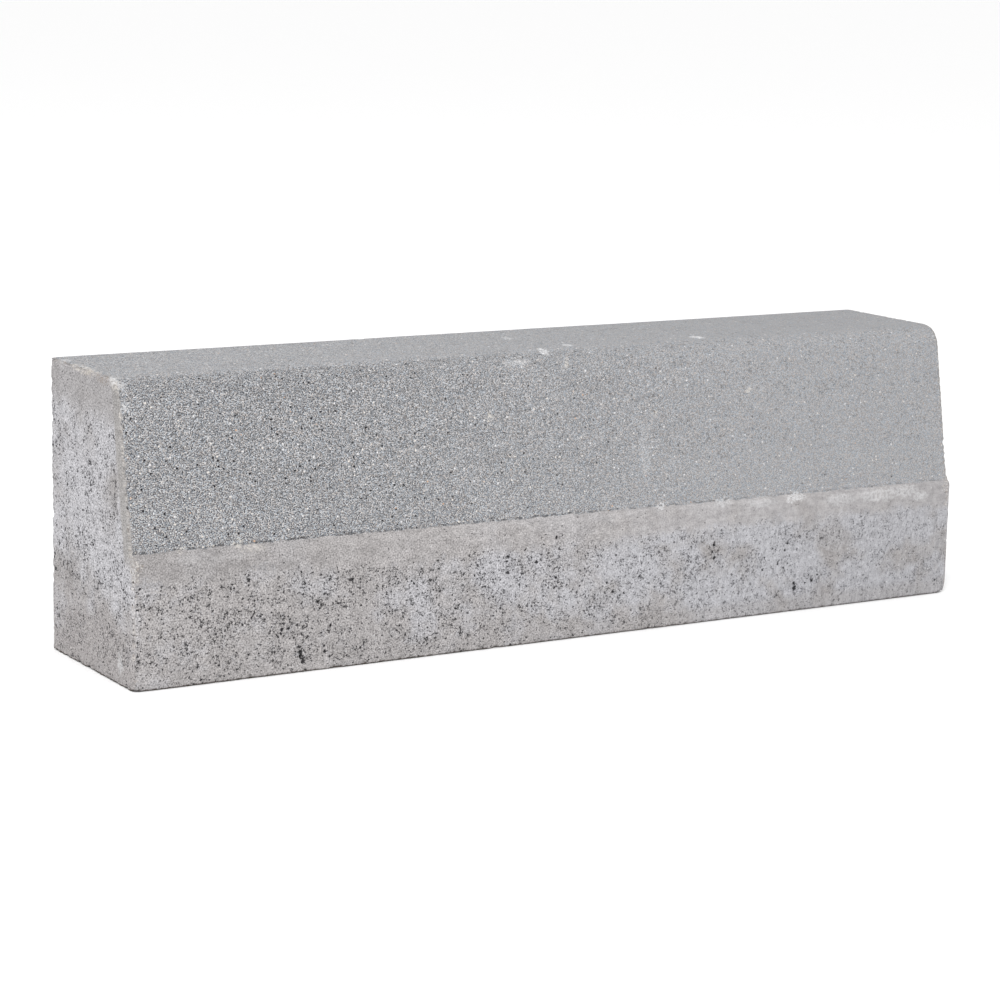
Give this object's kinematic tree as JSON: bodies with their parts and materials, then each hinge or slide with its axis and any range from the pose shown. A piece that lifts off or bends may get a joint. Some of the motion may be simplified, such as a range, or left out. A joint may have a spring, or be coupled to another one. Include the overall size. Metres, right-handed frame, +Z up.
{
  "type": "concrete kerb stone",
  "caption": "Straight precast concrete kerb stone with an upright foot band, a small ledge and a battered exposed-grain face rising to a rounded nose.",
  "frame": {"origin": "middle of the bed, the flat underside that the stone stands on", "axes": "+X along the stone, +Y from the front band to the back, +Z up from the bed to the top"},
  "size_m": [1, 0.2, 0.3],
  "materials": {
    "concrete": "pressed grey concrete, washed fine-grained face above, pitted cement skin below and on the ends"
  },
  "bodies": {
    "root": {"kerb_stone": "concrete"}
  },
  "joints": []
}
